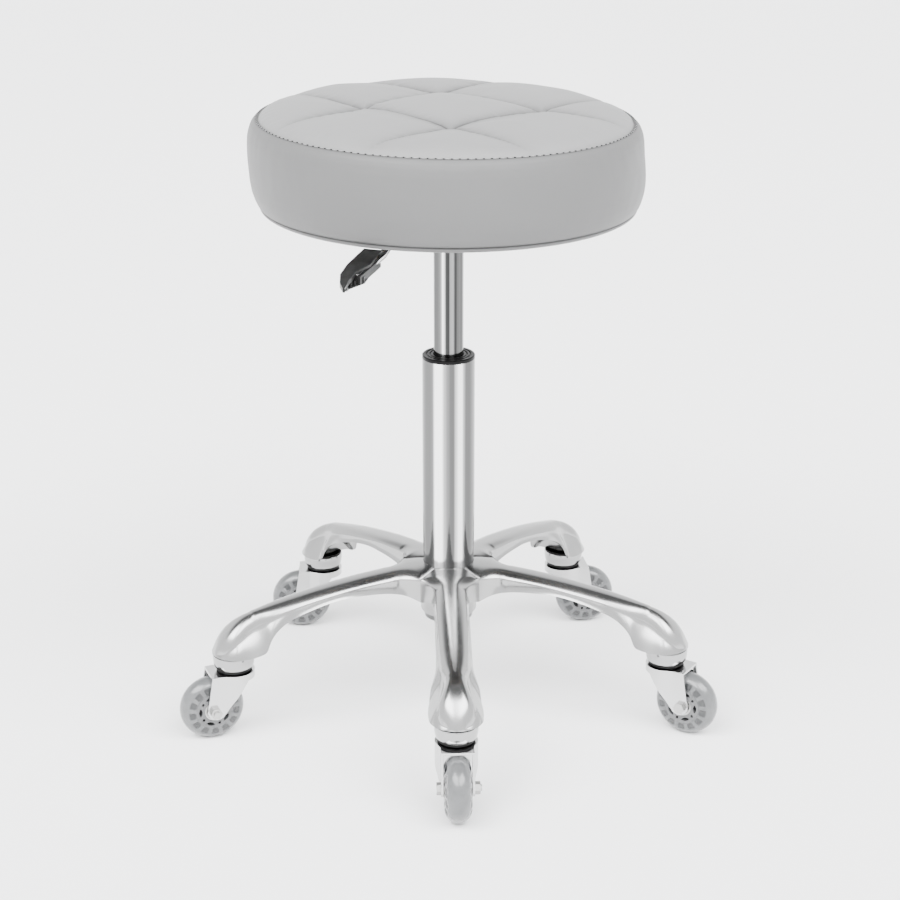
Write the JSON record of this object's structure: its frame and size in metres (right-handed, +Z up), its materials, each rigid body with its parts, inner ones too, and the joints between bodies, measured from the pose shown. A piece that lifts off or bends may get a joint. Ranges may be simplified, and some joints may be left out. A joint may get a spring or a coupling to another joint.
{
  "type": "stool",
  "caption": "Pedicure stool with a quilted grey round seat, chrome gas lift and a polished aluminium star base on soft-wheeled casters",
  "frame": {"origin": "on the floor, on the axis of the column", "axes": "+Z up, -Y towards the front arm's side, +X to the right seen from the front"},
  "size_m": [0.514, 0.4773, 0.5995],
  "materials": {
    "polished_aluminium": "polished",
    "chrome": "polished",
    "black_plastic": "satin",
    "steel": "satin",
    "nylon": "matte",
    "rubber": "matte",
    "brass": "satin",
    "leatherette": "satin",
    "foam": "matte",
    "plywood": "matte",
    "black_cloth": "matte",
    "black_paint": "satin",
    "grey_plastic": "satin",
    "clear_tyre": "satin"
  },
  "bodies": {
    "base": {"star_base": "polished_aluminium", "column_tube": "chrome", "tube_cap": "black_plastic", "tube_floor": "steel", "guide_bush": "nylon", "caster_stems": "steel", "caster_front_cup": "chrome", "caster_right_cup": "chrome", "caster_rear_right_cup": "chrome", "caster_rear_left_cup": "chrome", "caster_left_cup": "chrome"},
    "piston": {"piston_rod": "steel", "thrust_bearing": "steel", "bump_rubber": "rubber", "retaining_clip": "steel"},
    "seat": {"pressure_cylinder": "chrome", "cylinder_gland": "brass", "seat_plate": "black_paint", "seat_board": "plywood", "seat_cover": "leatherette", "seat_foam": "foam", "cover_hem": "leatherette", "dust_cover": "black_cloth", "staples": "steel", "seat_bolts": "steel", "tee_nuts": "steel", "lever_pivot_pin": "steel"},
    "lever": {"lever_rod": "chrome", "lever_grip": "black_plastic"},
    "pin": {"release_pin": "steel"},
    "caster_front_swivelling": {"caster_front_fork": "chrome", "caster_front_axle_bolt": "steel", "caster_front_axle_nut": "steel"},
    "caster_front_wheel": {"caster_front_hub": "grey_plastic", "caster_front_tyre": "clear_tyre", "caster_front_bearings": "steel"},
    "caster_right_swivelling": {"caster_right_fork": "chrome", "caster_right_axle_bolt": "steel", "caster_right_axle_nut": "steel"},
    "caster_right_wheel": {"caster_right_hub": "grey_plastic", "caster_right_tyre": "clear_tyre", "caster_right_bearings": "steel"},
    "caster_rear_right_swivelling": {"caster_rear_right_fork": "chrome", "caster_rear_right_axle_bolt": "steel", "caster_rear_right_axle_nut": "steel"},
    "caster_rear_right_wheel": {"caster_rear_right_hub": "grey_plastic", "caster_rear_right_tyre": "clear_tyre", "caster_rear_right_bearings": "steel"},
    "caster_rear_left_swivelling": {"caster_rear_left_fork": "chrome", "caster_rear_left_axle_bolt": "steel", "caster_rear_left_axle_nut": "steel"},
    "caster_rear_left_wheel": {"caster_rear_left_hub": "grey_plastic", "caster_rear_left_tyre": "clear_tyre", "caster_rear_left_bearings": "steel"},
    "caster_left_swivelling": {"caster_left_fork": "chrome", "caster_left_axle_bolt": "steel", "caster_left_axle_nut": "steel"},
    "caster_left_wheel": {"caster_left_hub": "grey_plastic", "caster_left_tyre": "clear_tyre", "caster_left_bearings": "steel"}
  },
  "joints": [
    {"name": "seat_swivel", "type": "hinge", "parent": "base", "child": "piston", "pos_m": [0, 0, 0.1], "axis": [0, 0, 1], "continuous": true},
    {"name": "lift", "type": "slide", "parent": "piston", "child": "seat", "axis": [0, 0, 1], "range_m": [-0.1, 0]},
    {"name": "lever_lift", "type": "hinge", "parent": "seat", "child": "lever", "pos_m": [-0.01408, -0.0169, 0.4975], "axis": [-0.7682, 0.6402, 0], "range_deg": [0, 4], "stiffness_Nm_per_rad": 8},
    {"name": "pin_press", "type": "slide", "parent": "seat", "child": "pin", "axis": [0, 0, 1], "range_m": [-0.002, 0]},
    {"name": "caster_front_swivel", "type": "hinge", "parent": "base", "child": "caster_front_swivelling", "pos_m": [0.00695, -0.21759, 0.067], "axis": [0, 0, 1], "continuous": true},
    {"name": "caster_front_roll", "type": "hinge", "parent": "caster_front_swivelling", "child": "caster_front_wheel", "pos_m": [0.00819, -0.24116, 0.031], "axis": [0.9986, 0.0523, 0], "continuous": true},
    {"name": "caster_right_swivel", "type": "hinge", "parent": "base", "child": "caster_right_swivelling", "pos_m": [0.20909, -0.06063, 0.067], "axis": [0, 0, 1], "continuous": true},
    {"name": "caster_right_roll", "type": "hinge", "parent": "caster_right_swivelling", "child": "caster_right_wheel", "pos_m": [0.22921, -0.07296, 0.031], "axis": [0.5225, 0.8526, 0], "continuous": true},
    {"name": "caster_rear_right_swivel", "type": "hinge", "parent": "base", "child": "caster_rear_right_swivelling", "pos_m": [0.12227, 0.18012, 0.067], "axis": [0, 0, 1], "continuous": true},
    {"name": "caster_rear_right_roll", "type": "hinge", "parent": "caster_rear_right_swivelling", "child": "caster_rear_right_wheel", "pos_m": [0.14562, 0.18353, 0.031], "axis": [-0.1444, 0.9895, 0], "continuous": true},
    {"name": "caster_rear_left_swivel", "type": "hinge", "parent": "base", "child": "caster_rear_left_swivelling", "pos_m": [-0.13352, 0.17195, 0.067], "axis": [0, 0, 1], "continuous": true},
    {"name": "caster_rear_left_roll", "type": "hinge", "parent": "caster_rear_left_swivelling", "child": "caster_rear_left_wheel", "pos_m": [-0.15711, 0.17112, 0.031], "axis": [0.0349, -0.9994, 0], "continuous": true},
    {"name": "caster_left_swivel", "type": "hinge", "parent": "base", "child": "caster_left_swivelling", "pos_m": [-0.20479, -0.07385, 0.067], "axis": [0, 0, 1], "continuous": true},
    {"name": "caster_left_roll", "type": "hinge", "parent": "caster_left_swivelling", "child": "caster_left_wheel", "pos_m": [-0.22682, -0.08231, 0.031], "axis": [0.3584, -0.9336, 0], "continuous": true}
  ],
  "couplings": [
    {"joint": "pin_press", "follows": "lever_lift", "m_per_rad": -0.025}
  ]
}
